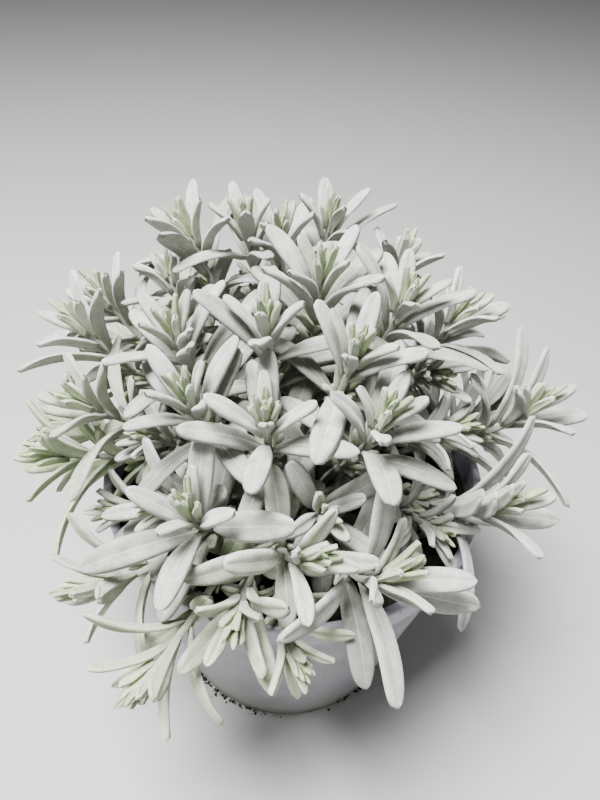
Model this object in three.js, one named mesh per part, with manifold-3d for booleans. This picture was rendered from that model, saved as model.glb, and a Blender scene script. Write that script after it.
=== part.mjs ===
// Potted English lavender with silver, felted leaves: a milky plastic pot, its potting soil, and leafy stems
// that each stand in a hole in the soil. Millimetres, +Z up, origin at the centre of the pot's underside.
import * as THREE from "three";
import { mergeVertices } from "three/addons/utils/BufferGeometryUtils.js";
import Module from "manifold-3d";

const wasm = await Module();
wasm.setup();

// Pot
const RIM_RADIUS = 70;
const POT_HEIGHT = 106;
const FOOT_RADIUS = 48;
const WALL = 1.4;
const RIM_BAND_HEIGHT = 10;
const RIM_LIP = 3.2; // width of the rolled top edge
const BAND_STEP = 1.6; // how far the rim band stands out from the wall below it
const FLOOR_THICKNESS = 1.8;
const POT_SIDES = 36;
const DRAIN_COUNT = 6;
const DRAIN_RADIUS = 4;
const DRAIN_RING = 31;

// Soil
const SOIL_TOP = 95;
const SOIL_GAP = 0.3; // clearance to the pot, and of each stem in its hole
const SOIL_SIDES = 30;
const SOIL_BUMP = 1.6;
const HOLE_DEPTH = 12;

// Stems: square in section, with the leaves on their faces
const STEM_FOOT = 1.25; // half the side at the soil
const STEM_TOP = 0.95; // half the side under the bud
const STEM_BENDS = [0, 0.4, 0.8]; // shares of the bare stretch with a ring of their own
const STEM_SPREAD = 0.3; // a stem's distance from the pot's axis at the soil, as a share of its reach
const STEM_APART = 5.6; // between the middles of two stems at the soil
const STEM_CLEAR = 3; // from a stem's centre to another stem's leaf
const HEART_TO_TIP = 9; // from where the rosette's leaves meet to the end of the stem
const BUD_LENGTH = 3;

// Leaves: opposite pairs on two faces of the stem, each pair a quarter turn from the one above
const LEAF_LENGTH = 34;
const LEAF_WIDTH = 8;
const LEAF_KEEL = 1.0; // depth of the midrib under the blade's edges
const LEAF_EDGE_RISE = 0.25;
const WIDEST_AT = 0.6;
const SEAT_HEIGHT = 1.3; // of a leaf's seat along the stem
const PAIRS = 8;
const LOWEST_PAIR = 0.14; // share of the stem's run below which it bears no leaf
const SHORT_LEAF = 15; // under this length one ring carries the outline
const SHORT_STATIONS = [0.62];
const LONG_STATIONS = [0.42, 0.86];

// Clearance between leaves of different stems
const PLATE_STATIONS = [0.14, 0.32, 0.5, 0.68, 0.84, 1];
const POINT_ROWS = 10;
const POINT_FROM = 0.14;
const PLATE_CLEAR = 1.7;
const PLATE_MARGIN = 0.5;
const OWN_CLEAR = 0.9; // the same for two leaves of one stem
const OWN_MARGIN = 0.2;
const SOIL_CLEAR = 2.5;
const RIM_CLEAR = 1.8;
const FLOOR_CLEAR = 4;

// Each rosette as on the plant: azimuth in degrees round the pot from +X, distance from the pot's axis and
// height of its heart in millimetres, the way it faces and its lean from upright in degrees, and its size.
const ROSETTES = [
  [260, 44, 157, 262, 12, 0.92],
  [202, 38, 162, 210, 12, 0.92],
  [231, 45, 156, 210, 14, 0.9],
  [246, 63, 134, 236, 12, 1.0],
  [297, 30, 168, 315, 12, 0.94],
  [297, 46, 157, 330, 14, 0.95],
  [242, 20, 170, 235, 8, 0.88],
  [340, 5, 176, 290, 8, 0.95],
  [357, 28, 169, 330, 14, 1.0],
  [22, 52, 153, 350, 26, 0.95],
  [0, 75, 129, 335, 20, 1.1],
  [331, 67, 118, 330, 32, 1.15],
  [269, 64, 132, 326, 44, 0.98],
  [288, 68, 122, 344, 34, 1.15],
  [259, 65, 114, 264, 64, 1.0],
  [248, 82, 107, 238, 94, 0.95],
  [231, 75, 110, 206, 76, 0.95],
  [195, 71, 121, 212, 58, 1.05],
  [195, 62, 138, 210, 40, 1.0],
  [172, 68, 146, 190, 32, 1.05],
  [160, 68, 148, 180, 26, 1.0],
  [134, 54, 166, 185, 22, 1.05],
  [117, 44, 170, 215, 10, 1.0],
  [103, 41, 168, 260, 8, 0.94],
  [82, 50, 170, 300, 10, 0.92],
  [208, 48, 135, 210, 50, 0.65],
  [149, 53, 159, 150, 20, 0.7],
  [321, 56, 117, 300, 62, 0.65],
  [345, 47, 136, 350, 60, 0.7],
  [2, 41, 150, 300, 60, 0.7],
  [270, 74, 110, 300, 80, 0.7],
  [14, 70, 118, 24, 58, 0.9],
  [38, 70, 134, 40, 48, 1.0],
  [52, 50, 158, 50, 26, 1.0],
  [86, 74, 136, 88, 44, 1.0],
  [64, 74, 126, 62, 54, 1.0],
  [104, 78, 119, 102, 60, 0.95],
  [126, 76, 130, 124, 50, 1.0],
  [146, 78, 117, 146, 62, 0.9],
  [178, 75, 113, 174, 68, 0.85],
  [228, 52, 122, 232, 46, 0.9],
  [280, 46, 130, 285, 40, 0.9],
  [214, 60, 113, 212, 60, 0.7],
];

const UP = new THREE.Vector3(0, 0, 1);
const degrees = (angle) => (angle * Math.PI) / 180;
const polar = (azimuth, radius, z) =>
  new THREE.Vector3(radius * Math.cos(degrees(azimuth)), radius * Math.sin(degrees(azimuth)), z);
const along = (point, direction, distance) => point.clone().addScaledVector(direction, distance);

// A generator of repeatable draws from -1 to 1.
function draws(seed) {
  let state = seed;
  return () => {
    state = (state * 1664525 + 1013904223) % 4294967296;
    return state / 2147483648 - 1;
  };
}

// Where the stems stand in the soil: below their rosettes, nearer the middle, and pushed clear of each other.
function placeRoots() {
  const roots = ROSETTES.map(([azimuth, reach]) => polar(azimuth, 3 + STEM_SPREAD * reach, SOIL_TOP));
  for (let round = 0; round < 80; round += 1) {
    roots.forEach((root, i) => {
      for (const other of roots.slice(0, i)) {
        const apart = root.distanceTo(other);
        if (apart < STEM_APART) {
          const share = (STEM_APART / apart - 1) / 2;
          const push = new THREE.Vector3().subVectors(root, other).multiplyScalar(share);
          root.add(push);
          other.sub(push);
        }
      }
    });
  }
  return roots;
}

// The stem of a rosette: straight in the soil, then one curve to its tip. Its faces are turned by a draw.
function makeStem([azimuth, reach, height, facing, lean, size], root, index) {
  const heart = polar(azimuth, reach, height);
  const heading = polar(facing, Math.sin(degrees(lean)), Math.cos(degrees(lean)));
  const tip = along(heart, heading, HEART_TO_TIP * size);
  const rise = tip.distanceTo(root) * 0.38;
  const side = polar(facing + 90, 1, 0);
  const ends = [root, along(root, UP, rise), along(tip, heading, -rise), tip];
  const draw = draws(1000 + 77 * index);
  return { index, ends, side, size, draw, turn: degrees(45 * draw()) };
}

function stemPoint({ ends }, t) {
  const k = 1 - t;
  const point = new THREE.Vector3();
  [k * k * k, 3 * k * k * t, 3 * k * t * t, t * t * t].forEach((share, i) =>
    point.addScaledVector(ends[i], share),
  );
  return point;
}

// How the stem's point moves per unit of t.
function stemRun({ ends }, t) {
  const k = 1 - t;
  const run = new THREE.Vector3();
  [-3 * k * k, 3 * k * k - 6 * k * t, 6 * k * t - 3 * t * t, 3 * t * t].forEach((share, i) =>
    run.addScaledVector(ends[i], share),
  );
  return run;
}

// The stem's own directions at t: along it, across it, and square to both.
function stemFrame(stem, t) {
  const axis = stemRun(stem, t).normalize();
  const face = new THREE.Vector3().crossVectors(axis, stem.side).normalize();
  const side = new THREE.Vector3().crossVectors(face, axis);
  return { axis, side, face };
}

// A leaf's middle line bends in one plane from the stem's direction outwards.
function leafFrame(leaf, s) {
  const bend = leaf.openEnd - leaf.openStart;
  const angle = leaf.openStart + bend * s;
  const forward = (Math.sin(angle) - Math.sin(leaf.openStart)) / bend;
  const outward = (Math.cos(leaf.openStart) - Math.cos(angle)) / bend;
  const across = new THREE.Vector3().crossVectors(leaf.axis, leaf.out);
  const point = leaf.root
    .clone()
    .addScaledVector(leaf.axis, leaf.length * forward)
    .addScaledVector(leaf.out, leaf.length * outward)
    .addScaledVector(across, leaf.length * leaf.sway * s * s);
  const [sine, cosine] = [Math.sin(angle), Math.cos(angle)];
  const tangent = leaf.axis.clone().multiplyScalar(cosine).addScaledVector(leaf.out, sine);
  const upper = leaf.axis.clone().multiplyScalar(sine).addScaledVector(leaf.out, -cosine);
  const twist = leaf.twist * s;
  const wide = across.clone().multiplyScalar(Math.cos(twist)).addScaledVector(upper, Math.sin(twist));
  const normal = upper.multiplyScalar(Math.cos(twist)).addScaledVector(across, -Math.sin(twist));
  return { point, tangent, wide, normal };
}

// The leaf's outline: a narrow foot, widest past the middle, and a blunt tip.
function leafHalfWidth(leaf, s) {
  return (leaf.width / 2) * Math.pow(s / WIDEST_AT, 0.75) * Math.pow((1 - s) / (1 - WIDEST_AT), 0.5);
}

// Half the side of a stem's square section.
function stemHalf(t) {
  return THREE.MathUtils.lerp(STEM_FOOT, STEM_TOP, Math.max(0, t));
}

// What the clearance test knows of a leaf: flat plates along it, and points over it.
function footprint(leaf) {
  const plates = [];
  for (let i = 0; i + 1 < PLATE_STATIONS.length; i += 1) {
    const from = PLATE_STATIONS[i];
    const to = PLATE_STATIONS[i + 1];
    const { point, tangent, wide, normal } = leafFrame(leaf, (from + to) / 2);
    const halfWidth = Math.max(...[from, (from + to) / 2, to].map((s) => leafHalfWidth(leaf, s)));
    plates.push({ point, tangent, wide, normal, halfWidth, halfLength: (leaf.length * (to - from)) / 2 });
  }
  const points = [];
  for (let row = 0; row < POINT_ROWS; row += 1) {
    const s = POINT_FROM + ((1 - POINT_FROM) * row) / (POINT_ROWS - 1);
    const { point, wide } = leafFrame(leaf, s);
    for (const share of [-1, 0, 1]) {
      points.push(along(point, wide, share * leafHalfWidth(leaf, s)));
    }
  }
  const centre = leafFrame(leaf, 0.55).point;
  const radius = Math.max(...points.map((point) => point.distanceTo(centre)));
  return { stem: leaf.stem, plates, points, centre, radius };
}

const gap = new THREE.Vector3();

function pointsMeetPlates(a, b, clear, margin) {
  return a.points.some((point) =>
    b.plates.some((plate) => {
      gap.subVectors(point, plate.point);
      return (
        Math.abs(gap.dot(plate.normal)) < clear &&
        Math.abs(gap.dot(plate.wide)) < plate.halfWidth + margin &&
        Math.abs(gap.dot(plate.tangent)) < plate.halfLength + margin
      );
    }),
  );
}

function leavesMeet(a, b) {
  if (a.centre.distanceTo(b.centre) > a.radius + b.radius + PLATE_CLEAR) return false;
  const own = a.stem === b.stem;
  const clear = own ? OWN_CLEAR : PLATE_CLEAR;
  const margin = own ? OWN_MARGIN : PLATE_MARGIN;
  return pointsMeetPlates(a, b, clear, margin) || pointsMeetPlates(b, a, clear, margin);
}

// The lowest a leaf may hang at a distance from the pot's axis: over the soil, over the rim, or past it.
function lowestLeaf(radius) {
  if (radius < RIM_RADIUS - RIM_LIP - 5) return SOIL_TOP + SOIL_CLEAR;
  return radius < RIM_RADIUS + 2.5 ? POT_HEIGHT + RIM_CLEAR : FLOOR_CLEAR;
}

function meetsPot({ points }) {
  return points.some(({ x, y, z }) => z < lowestLeaf(Math.hypot(x, y)));
}

const STEM_CHAIN = 12;

function stemChain(stem) {
  return Array.from({ length: STEM_CHAIN + 1 }, (_, i) => stemPoint(stem, i / STEM_CHAIN));
}

function meetsStem(a, chain) {
  const run = new THREE.Vector3();
  return a.points.some((point) =>
    chain.slice(1).some((end, i) => {
      const start = chain[i];
      run.subVectors(end, start);
      gap.subVectors(point, start);
      const share = Math.min(1, Math.max(0, gap.dot(run) / run.lengthSq()));
      return gap.addScaledVector(run, -share).length() < STEM_CLEAR;
    }),
  );
}

// What a leaf may try, nearest to its own place first: turned round the stem, opened or closed, and shorter.
const TRIES = [];
for (const shrink of [1, 0.88, 0.76, 0.64, 0.52]) {
  for (const turn of [0, 10, -10, 20, -20]) {
    for (const open of [0, 8, -8, 16, -16, 24]) {
      const cost = Math.abs(turn) / 10 + Math.abs(open) / 8 + (1 - shrink) * 20;
      TRIES.push({ shrink, turn: degrees(turn), open: degrees(open), cost });
    }
  }
}
TRIES.sort((a, b) => a.cost - b.cost);

// A leaf of one stem: pair 0 is the youngest, short and upright by the bud, and the oldest is long and open.
function makeLeaf(stem, t, pair, half) {
  const { axis, side, face } = stemFrame(stem, t);
  const turn = stem.turn + degrees(90 * pair + 180 * half + 8 * stem.draw());
  const open = degrees(5 + 7.5 * pair + 5 * stem.draw());
  const share = Math.min(1, 0.34 + 0.17 * pair) * (1 + 0.1 * stem.draw());
  const twist = degrees(14 * stem.draw());
  const sway = 0.06 * stem.draw();
  return (attempt) => {
    const angle = turn + attempt.turn;
    const out = side.clone().multiplyScalar(Math.cos(angle)).addScaledVector(face, Math.sin(angle));
    const openStart = open + attempt.open;
    return {
      stem: stem.index,
      pair,
      half,
      root: along(stemPoint(stem, t), out, stemHalf(t)),
      axis,
      out,
      openStart,
      openEnd: openStart + degrees(Math.min(58, 14 + 9 * pair)) + attempt.open / 2,
      length: LEAF_LENGTH * stem.size * share * attempt.shrink,
      width: LEAF_WIDTH * stem.size * Math.pow(share, 0.85) * (0.6 + 0.4 * attempt.shrink),
      twist,
      sway,
    };
  };
}

// All leaves, youngest pairs of every stem first. A leaf that finds no clear place is left out.
function growLeaves(stems) {
  const chains = stems.map(stemChain);
  const prints = [];
  stems.forEach((stem) => {
    stem.seats = [1 - stem.size / stemRun(stem, 1).length()];
    stem.leaves = [];
  });
  for (let pair = 0; pair < PAIRS; pair += 1) {
    for (const stem of stems) {
      const t = stem.seats[pair];
      if (t === undefined || pair >= PAIRS * stem.size + 0.6) continue;
      for (const half of [0, 1]) {
        const shape = makeLeaf(stem, t, pair, half);
        for (const attempt of TRIES) {
          const leaf = shape(attempt);
          const print = footprint(leaf);
          const blocked =
            meetsPot(print) ||
            chains.some((chain, other) => other !== stem.index && meetsStem(print, chain)) ||
            prints.some((theirs) => leavesMeet(print, theirs));
          if (!blocked) {
            stem.leaves.push(leaf);
            prints.push(print);
            break;
          }
        }
      }
      const next = t - (SEAT_HEIGHT + stem.size * (0.6 + pair)) / stemRun(stem, t).length();
      if (next > LOWEST_PAIR) stem.seats.push(next);
    }
  }
}

// A closed geometry from rings of corners, with a cap or a single point at each end.
function loft(rings) {
  const positions = rings.flat().flatMap((corner) => corner.toArray());
  const faces = [];
  const starts = [];
  let count = 0;
  for (const ring of rings) {
    starts.push(count);
    count += ring.length;
  }
  for (let r = 0; r + 1 < rings.length; r += 1) {
    const [near, far] = [rings[r], rings[r + 1]];
    const sides = Math.max(near.length, far.length);
    for (let i = 0; i < sides; i += 1) {
      const next = (i + 1) % sides;
      const a = starts[r] + (near.length > 1 ? i : 0);
      const b = starts[r] + (near.length > 1 ? next : 0);
      const c = starts[r + 1] + (far.length > 1 ? next : 0);
      const d = starts[r + 1] + (far.length > 1 ? i : 0);
      if (a !== b) faces.push(a, b, c);
      if (c !== d) faces.push(a, c, d);
    }
  }
  const last = rings.length - 1;
  for (let i = 1; i + 1 < rings[0].length; i += 1) faces.push(0, i + 1, i);
  for (let i = starts[last] + 1; i + 1 < count; i += 1) faces.push(starts[last], i, i + 1);
  return new THREE.BufferGeometry()
    .setAttribute("position", new THREE.Float32BufferAttribute(positions, 3))
    .setIndex(faces);
}

function toSolid(geometry) {
  const bare = geometry.clone();
  bare.deleteAttribute("normal");
  bare.deleteAttribute("uv");
  const merged = mergeVertices(bare, 1e-4);
  return new wasm.Manifold(
    new wasm.Mesh({
      numProp: 3,
      vertProperties: new Float32Array(merged.attributes.position.array),
      triVerts: new Uint32Array(merged.index.array),
    }),
  );
}

function toGeometry(solid) {
  const { vertProperties, triVerts } = solid.getMesh();
  return new THREE.BufferGeometry()
    .setAttribute("position", new THREE.BufferAttribute(vertProperties, 3))
    .setIndex(new THREE.BufferAttribute(triVerts, 1));
}

// The corners of a stem's section. Corner k starts the face that looks along the stem's turn and k quarters.
function stemSection(stem, centre, t, half) {
  const { side, face } = stemFrame(stem, t);
  return [0, 1, 2, 3].map((k) => {
    const angle = stem.turn + degrees(90 * k - 45);
    const reach = half * Math.SQRT2;
    return along(along(centre, side, reach * Math.cos(angle)), face, reach * Math.sin(angle));
  });
}

// A blade is three-sided: the midrib's keel and two edges.
function bladeSection(leaf, s) {
  const { point, wide, normal } = leafFrame(leaf, s);
  const half = leafHalfWidth(leaf, s);
  return [
    along(point, normal, -LEAF_KEEL),
    along(along(point, wide, half), normal, LEAF_EDGE_RISE),
    along(along(point, wide, -half), normal, LEAF_EDGE_RISE),
  ];
}

// One skin for a stem and its leaves. A leaf rises from the face of the stem that its seat opens.
function shootGeometry(stem) {
  const corners = [];
  const faces = [];
  const place = (points) => points.map((point) => corners.push(point) - 1);
  const join = (near, far) =>
    near.forEach((a, i) => {
      const b = near[(i + 1) % near.length];
      const c = far[(i + 1) % far.length];
      faces.push(a, b, c);
      if (far.length > 1) faces.push(a, c, far[i]);
    });

  function addLeaf(leaf, [low, lowNext, highNext, high]) {
    const stations = leaf.length < SHORT_LEAF ? SHORT_STATIONS : LONG_STATIONS;
    const rings = stations.map((s) => place(bladeSection(leaf, s)));
    const [keel, right, left] = rings[0];
    faces.push(low, lowNext, keel);
    faces.push(lowNext, highNext, right, lowNext, right, keel);
    faces.push(highNext, high, left, highNext, left, right);
    faces.push(high, low, keel, high, keel, left);
    rings.slice(1).forEach((ring, i) => join(rings[i], ring));
    join(rings.at(-1), place([leafFrame(leaf, 1).point]));
  }

  const foot = place(stemSection(stem, along(stem.ends[0], UP, -HOLE_DEPTH), 0, STEM_FOOT));
  faces.push(foot[0], foot[2], foot[1], foot[0], foot[3], foot[2]);
  let below = foot;
  for (const share of STEM_BENDS) {
    const t = share * stem.seats.at(-1);
    const ring = place(stemSection(stem, stemPoint(stem, t), t, stemHalf(t)));
    join(below, ring);
    below = ring;
  }
  for (let pair = stem.seats.length - 1; pair >= 0; pair -= 1) {
    const t = stem.seats[pair];
    const rise = SEAT_HEIGHT / 2 / stemRun(stem, t).length();
    const [low, high] = [t - rise, t + rise].map((at) =>
      place(stemSection(stem, stemPoint(stem, at), at, stemHalf(at))),
    );
    join(below, low);
    for (let k = 0; k < 4; k += 1) {
      const next = (k + 1) % 4;
      const leaf = stem.leaves.find((one) => one.pair === pair && (pair + 2 * one.half) % 4 === k);
      const seat = [low[k], low[next], high[next], high[k]];
      if (leaf) addLeaf(leaf, seat);
      else faces.push(seat[0], seat[1], seat[2], seat[0], seat[2], seat[3]);
    }
    below = high;
  }
  const { axis } = stemFrame(stem, 1);
  join(below, place([along(stemPoint(stem, 1), axis, BUD_LENGTH * stem.size)]));
  return new THREE.BufferGeometry()
    .setAttribute("position", new THREE.Float32BufferAttribute(corners.flatMap((c) => c.toArray()), 3))
    .setIndex(faces);
}

// The pot: flat floor with drain holes, a tapered wall and a thick rim band.
function potGeometry() {
  const bandFoot = POT_HEIGHT - RIM_BAND_HEIGHT;
  const wallTop = RIM_RADIUS - BAND_STEP - 0.8;
  const inside = RIM_RADIUS - RIM_LIP;
  const profile = [
    [0, 0],
    [FOOT_RADIUS - 2, 0],
    [FOOT_RADIUS - 0.6, 0.6],
    [FOOT_RADIUS, 2],
    [wallTop, bandFoot],
    [RIM_RADIUS - 0.8, bandFoot + 0.5],
    [RIM_RADIUS, POT_HEIGHT - 1.2],
    [RIM_RADIUS - 0.7, POT_HEIGHT],
    [inside + 0.7, POT_HEIGHT],
    [inside, POT_HEIGHT - 1],
    [wallTop - WALL, bandFoot - 2],
    [FOOT_RADIUS - WALL, FLOOR_THICKNESS],
    [0, FLOOR_THICKNESS],
  ].map(([r, z]) => new THREE.Vector2(r, z));
  const lathe = new THREE.LatheGeometry(profile, POT_SIDES).rotateX(Math.PI / 2);
  let pot = toSolid(lathe);
  for (let i = 0; i < DRAIN_COUNT; i += 1) {
    const drain = new THREE.CylinderGeometry(DRAIN_RADIUS, DRAIN_RADIUS, 4 * FLOOR_THICKNESS, 10)
      .rotateX(Math.PI / 2)
      .translate(...polar((360 * (i + 0.5)) / DRAIN_COUNT, DRAIN_RING, 0).toArray());
    pot = pot.subtract(toSolid(drain));
  }
  return toGeometry(pot);
}

// The pot's inner radius at a height, with the soil's clearance taken off.
function soilRadius(z) {
  const bandFoot = POT_HEIGHT - RIM_BAND_HEIGHT - 2;
  const share = (Math.min(z, bandFoot) - FLOOR_THICKNESS) / (bandFoot - FLOOR_THICKNESS);
  const foot = FOOT_RADIUS - WALL;
  const top = RIM_RADIUS - BAND_STEP - 0.8 - WALL;
  return THREE.MathUtils.lerp(foot, top, share) * Math.cos(Math.PI / POT_SIDES) - SOIL_GAP;
}

// Soil with a bumpy top, flat where the stems stand, and a hole for each stem.
function soilGeometry(stems) {
  const draw = draws(5);
  const ringOf = (radius, z, bump) =>
    Array.from({ length: SOIL_SIDES }, (_, i) =>
      polar((360 * i) / SOIL_SIDES, radius * (1 + 0.03 * bump * draw()), z + SOIL_BUMP * bump * draw()),
    );
  const bottom = FLOOR_THICKNESS + SOIL_GAP;
  const rings = [
    ringOf(soilRadius(bottom), bottom, 0),
    ringOf(soilRadius(SOIL_TOP), SOIL_TOP - 0.6, 0),
    ringOf(soilRadius(SOIL_TOP) * 0.88, SOIL_TOP, 1),
    ringOf(soilRadius(SOIL_TOP) * 0.7, SOIL_TOP, 1),
    ringOf(soilRadius(SOIL_TOP) * 0.55, SOIL_TOP, 0),
  ];
  let soil = toSolid(loft(rings));
  for (const stem of stems) {
    const ends = [-HOLE_DEPTH - SOIL_GAP, 4].map((z) =>
      stemSection(stem, along(stem.ends[0], UP, z), 0, STEM_FOOT + SOIL_GAP),
    );
    soil = soil.subtract(toSolid(loft(ends)));
  }
  return toGeometry(soil);
}

const MATERIALS = {
  pot: new THREE.MeshStandardMaterial({ color: 0xc9cad6, roughness: 0.45, metalness: 0 }),
  soil: new THREE.MeshStandardMaterial({ color: 0x2e2820, roughness: 0.95, metalness: 0 }),
  leaf: new THREE.MeshStandardMaterial({ color: 0xcfd2ca, roughness: 0.9, metalness: 0 }),
};

function makeMesh(name, geometry, material) {
  const mesh = new THREE.Mesh(geometry, material);
  mesh.name = name;
  return mesh;
}

const roots = placeRoots();
const stems = ROSETTES.map((rosette, i) => makeStem(rosette, roots[i], i));
growLeaves(stems);

const lavender = new THREE.Group();
lavender.add(makeMesh("pot", potGeometry(), MATERIALS.pot));
lavender.add(makeMesh("soil", soilGeometry(stems), MATERIALS.soil));
for (const stem of stems) {
  const name = `leafy_stem_${String(stem.index + 1).padStart(2, "0")}`;
  lavender.add(makeMesh(name, shootGeometry(stem), MATERIALS.leaf));
}

export default lavender;
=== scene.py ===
import math

import bmesh
import bpy
import numpy as np
from mathutils import Matrix, Vector, noise


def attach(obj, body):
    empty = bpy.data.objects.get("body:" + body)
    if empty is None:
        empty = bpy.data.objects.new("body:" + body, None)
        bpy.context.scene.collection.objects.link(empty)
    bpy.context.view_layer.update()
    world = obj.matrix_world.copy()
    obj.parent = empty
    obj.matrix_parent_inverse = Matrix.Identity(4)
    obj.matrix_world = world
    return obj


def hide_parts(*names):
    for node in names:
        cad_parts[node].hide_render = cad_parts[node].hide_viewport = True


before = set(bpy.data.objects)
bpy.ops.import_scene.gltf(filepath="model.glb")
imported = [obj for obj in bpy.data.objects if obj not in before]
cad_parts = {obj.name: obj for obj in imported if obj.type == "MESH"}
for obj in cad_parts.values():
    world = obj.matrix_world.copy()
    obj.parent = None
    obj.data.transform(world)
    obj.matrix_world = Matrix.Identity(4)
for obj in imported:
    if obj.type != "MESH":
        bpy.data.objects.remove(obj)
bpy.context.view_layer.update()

# Sizes are in millimetres, as in the part's source, until a mesh is made. Those of the floor and the lights
# are in metres.
METRES = 0.001

# Pot
RIM_RADIUS = 70
POT_HEIGHT = 106
FOOT_RADIUS = 48
WALL = 1.4
RIM_BAND_HEIGHT = 10
RIM_LIP = 3.2
BAND_STEP = 1.6
WALL_TOP_RADIUS = RIM_RADIUS - BAND_STEP - 0.8
FLOOR_THICKNESS = 1.8
DRAIN_COUNT = 6
DRAIN_RADIUS = 4
DRAIN_RING = 31
DRAIN_CUT = 3
POT_SIDES = 180
SHARP_ANGLE = 50

# Peat, and what lies on it and at the pot's foot
SOIL_TOP = 95
SOIL_GAP = 0.3
SOIL_SIDES = 220
SOIL_ROUNDS = 70
# Each size of the peat's relief: how wide its humps are, the noise's layer, and how high they are
SOIL_RELIEF = [(22, 3.1, 1.5), (5.2, 7.7, 1.5), (1.9, 1.3, 0.75), (0.8, 9.4, 0.35)]
PEAT_CRUMBS = 620
WHITE_GRAINS = 44
PEAT_FIBRES = 130
CRUMB_HEAPS = 26

# Stems
HOLE_DEPTH = 12
STEM_FOOT = 1.25
STEM_TOP = 0.95
ROOT_RING = 3
STEM_SPREAD = 0.3
STEM_APART = 5.6
ROOT_PUSHES = 80
HEART_TO_TIP = 9
CURVE_REACH = 0.38
STEM_SIDES = 16
STEM_RINGS = 30
JOINT_LENGTH = 1.1
JOINT_SWELL = 0.14
STEM_POINT = 2.4
STEM_AGE = 9.0

# Leaves
LEAF_LENGTH = 34
LEAF_WIDTH = 8
WIDEST_AT = 0.6
SEAT_HEIGHT = 1.3
PAIRS = 8
LOWEST_PAIR = 0.14

# Each rosette: azimuth, distance from the pot's axis, height of its heart, the way it faces, lean and size
ROSETTES = [
    (260, 44, 157, 262, 12, 0.92),
    (202, 38, 162, 210, 12, 0.92),
    (231, 45, 156, 210, 14, 0.9),
    (246, 63, 134, 236, 12, 1.0),
    (297, 30, 168, 315, 12, 0.94),
    (297, 46, 157, 330, 14, 0.95),
    (242, 20, 170, 235, 8, 0.88),
    (340, 5, 176, 290, 8, 0.95),
    (357, 28, 169, 330, 14, 1.0),
    (22, 52, 153, 350, 26, 0.95),
    (0, 75, 129, 335, 20, 1.1),
    (331, 67, 118, 330, 32, 1.15),
    (269, 64, 132, 326, 44, 0.98),
    (288, 68, 122, 344, 34, 1.15),
    (259, 65, 114, 264, 64, 1.0),
    (248, 82, 107, 238, 94, 0.95),
    (231, 75, 110, 206, 76, 0.95),
    (195, 71, 121, 212, 58, 1.05),
    (195, 62, 138, 210, 40, 1.0),
    (172, 68, 146, 190, 32, 1.05),
    (160, 68, 148, 180, 26, 1.0),
    (134, 54, 166, 185, 22, 1.05),
    (117, 44, 170, 215, 10, 1.0),
    (103, 41, 168, 260, 8, 0.94),
    (82, 50, 170, 300, 10, 0.92),
    (208, 48, 135, 210, 50, 0.65),
    (149, 53, 159, 150, 20, 0.7),
    (321, 56, 117, 300, 62, 0.65),
    (345, 47, 136, 350, 60, 0.7),
    (2, 41, 150, 300, 60, 0.7),
    (270, 74, 110, 300, 80, 0.7),
    (14, 70, 118, 24, 58, 0.9),
    (38, 70, 134, 40, 48, 1.0),
    (52, 50, 158, 50, 26, 1.0),
    (86, 74, 136, 88, 44, 1.0),
    (64, 74, 126, 62, 54, 1.0),
    (104, 78, 119, 102, 60, 0.95),
    (126, 76, 130, 124, 50, 1.0),
    (146, 78, 117, 146, 62, 0.9),
    (178, 75, 113, 174, 68, 0.85),
    (228, 52, 122, 232, 46, 0.9),
    (280, 46, 130, 285, 40, 0.9),
    (214, 60, 113, 212, 60, 0.7),
]

# Shoots that are still green under thin wool, by number, and how green
FRESH = {13: 0.15, 15: 0.35, 16: 0.45, 17: 0.4, 18: 0.7, 19: 0.25, 31: 0.45, 40: 0.6}

# Seeds of the draws for each stem: the first stem's, and the step to the next
STEM_SEEDS = (1000, 77)
BUD_SEEDS = (5000, 31)
AXIL_SEEDS = (9000, 53)

# The tries by which the source keeps a leaf clear of others: shrink, more turn and more opening. The try that
# it took is known by the leaf's tip, which is a corner of the frame's solid to within TIP_MATCH.
TRIES = [
    (shrink, math.radians(turn), math.radians(opened))
    for shrink in (1, 0.88, 0.76, 0.64, 0.52)
    for turn in (0, 10, -10, 20, -20)
    for opened in (0, 8, -8, 16, -16, 24)
]
TIP_MATCH = 0.05

# The youngest pairs, round the bud: number above the source's first pair, share of a full leaf's length,
# opening and bend in degrees, and place above the stem's end in millimetres
BUD_PAIRS = [
    (-1, 0.43, 7, 10, 0.0),
    (-2, 0.36, 3, 6, 0.8),
    (-3, 0.27, 1, 3, 1.0),
]

# Short shoots in the axils of the older leaves: the youngest pair that bears them, the draw below which there
# is none, their height above the pair, the turns of their leaves, and their leaves' share of a full leaf
AXIL_FROM = 5
AXIL_DRAW = -0.6
AXIL_HEIGHT = 1.6
AXIL_SPINS = (-50, 50, 8)
AXIL_LENGTH = 0.24
AXIL_WIDTH = 0.33

# How finely a leaf is meshed: points across its upper face, and rings along it
LEAF_MESH = (11, 14)
YOUNG_MESH = (7, 10)
SMALL_MESH = (5, 7)
YOUNG_LENGTH = 13
SMALL_LENGTH = 9.5

# A leaf's section, in millimetres: thickness, gutter, swelling of each half, midrib line, keel, roll and wave
LEAF_THICKNESS = 1.6
LEAF_GUTTER = 0.7
LEAF_CUSHION = 0.22
MIDRIB_LINE = 0.14
MIDRIB_KEEL = 0.5
MARGIN_ROLL = 0.6
MARGIN_WAVE = 0.28
# The most that a young and an old leaf's thickness can be, as a share of its width, and the first old pair
YOUNG_PLUMP = 0.5
OLD_PLUMP = 0.4
OLD_FROM = 2

# Share of the oldest leaves whose tip is dry and brown, and the youngest pair they are in
DRY_SHARE = 0.03
DRY_FROM = 5

# Wool: hairs for each square millimetre of a leaf's face and millimetre of its margin, and their measures
WOOL_PER_FACE = 0.09
WOOL_PER_MARGIN = 1.2
WOOL_LENGTH = 0.65
WOOL_WIDTH = 0.05
WOOL_ROOT = 0.06
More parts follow.
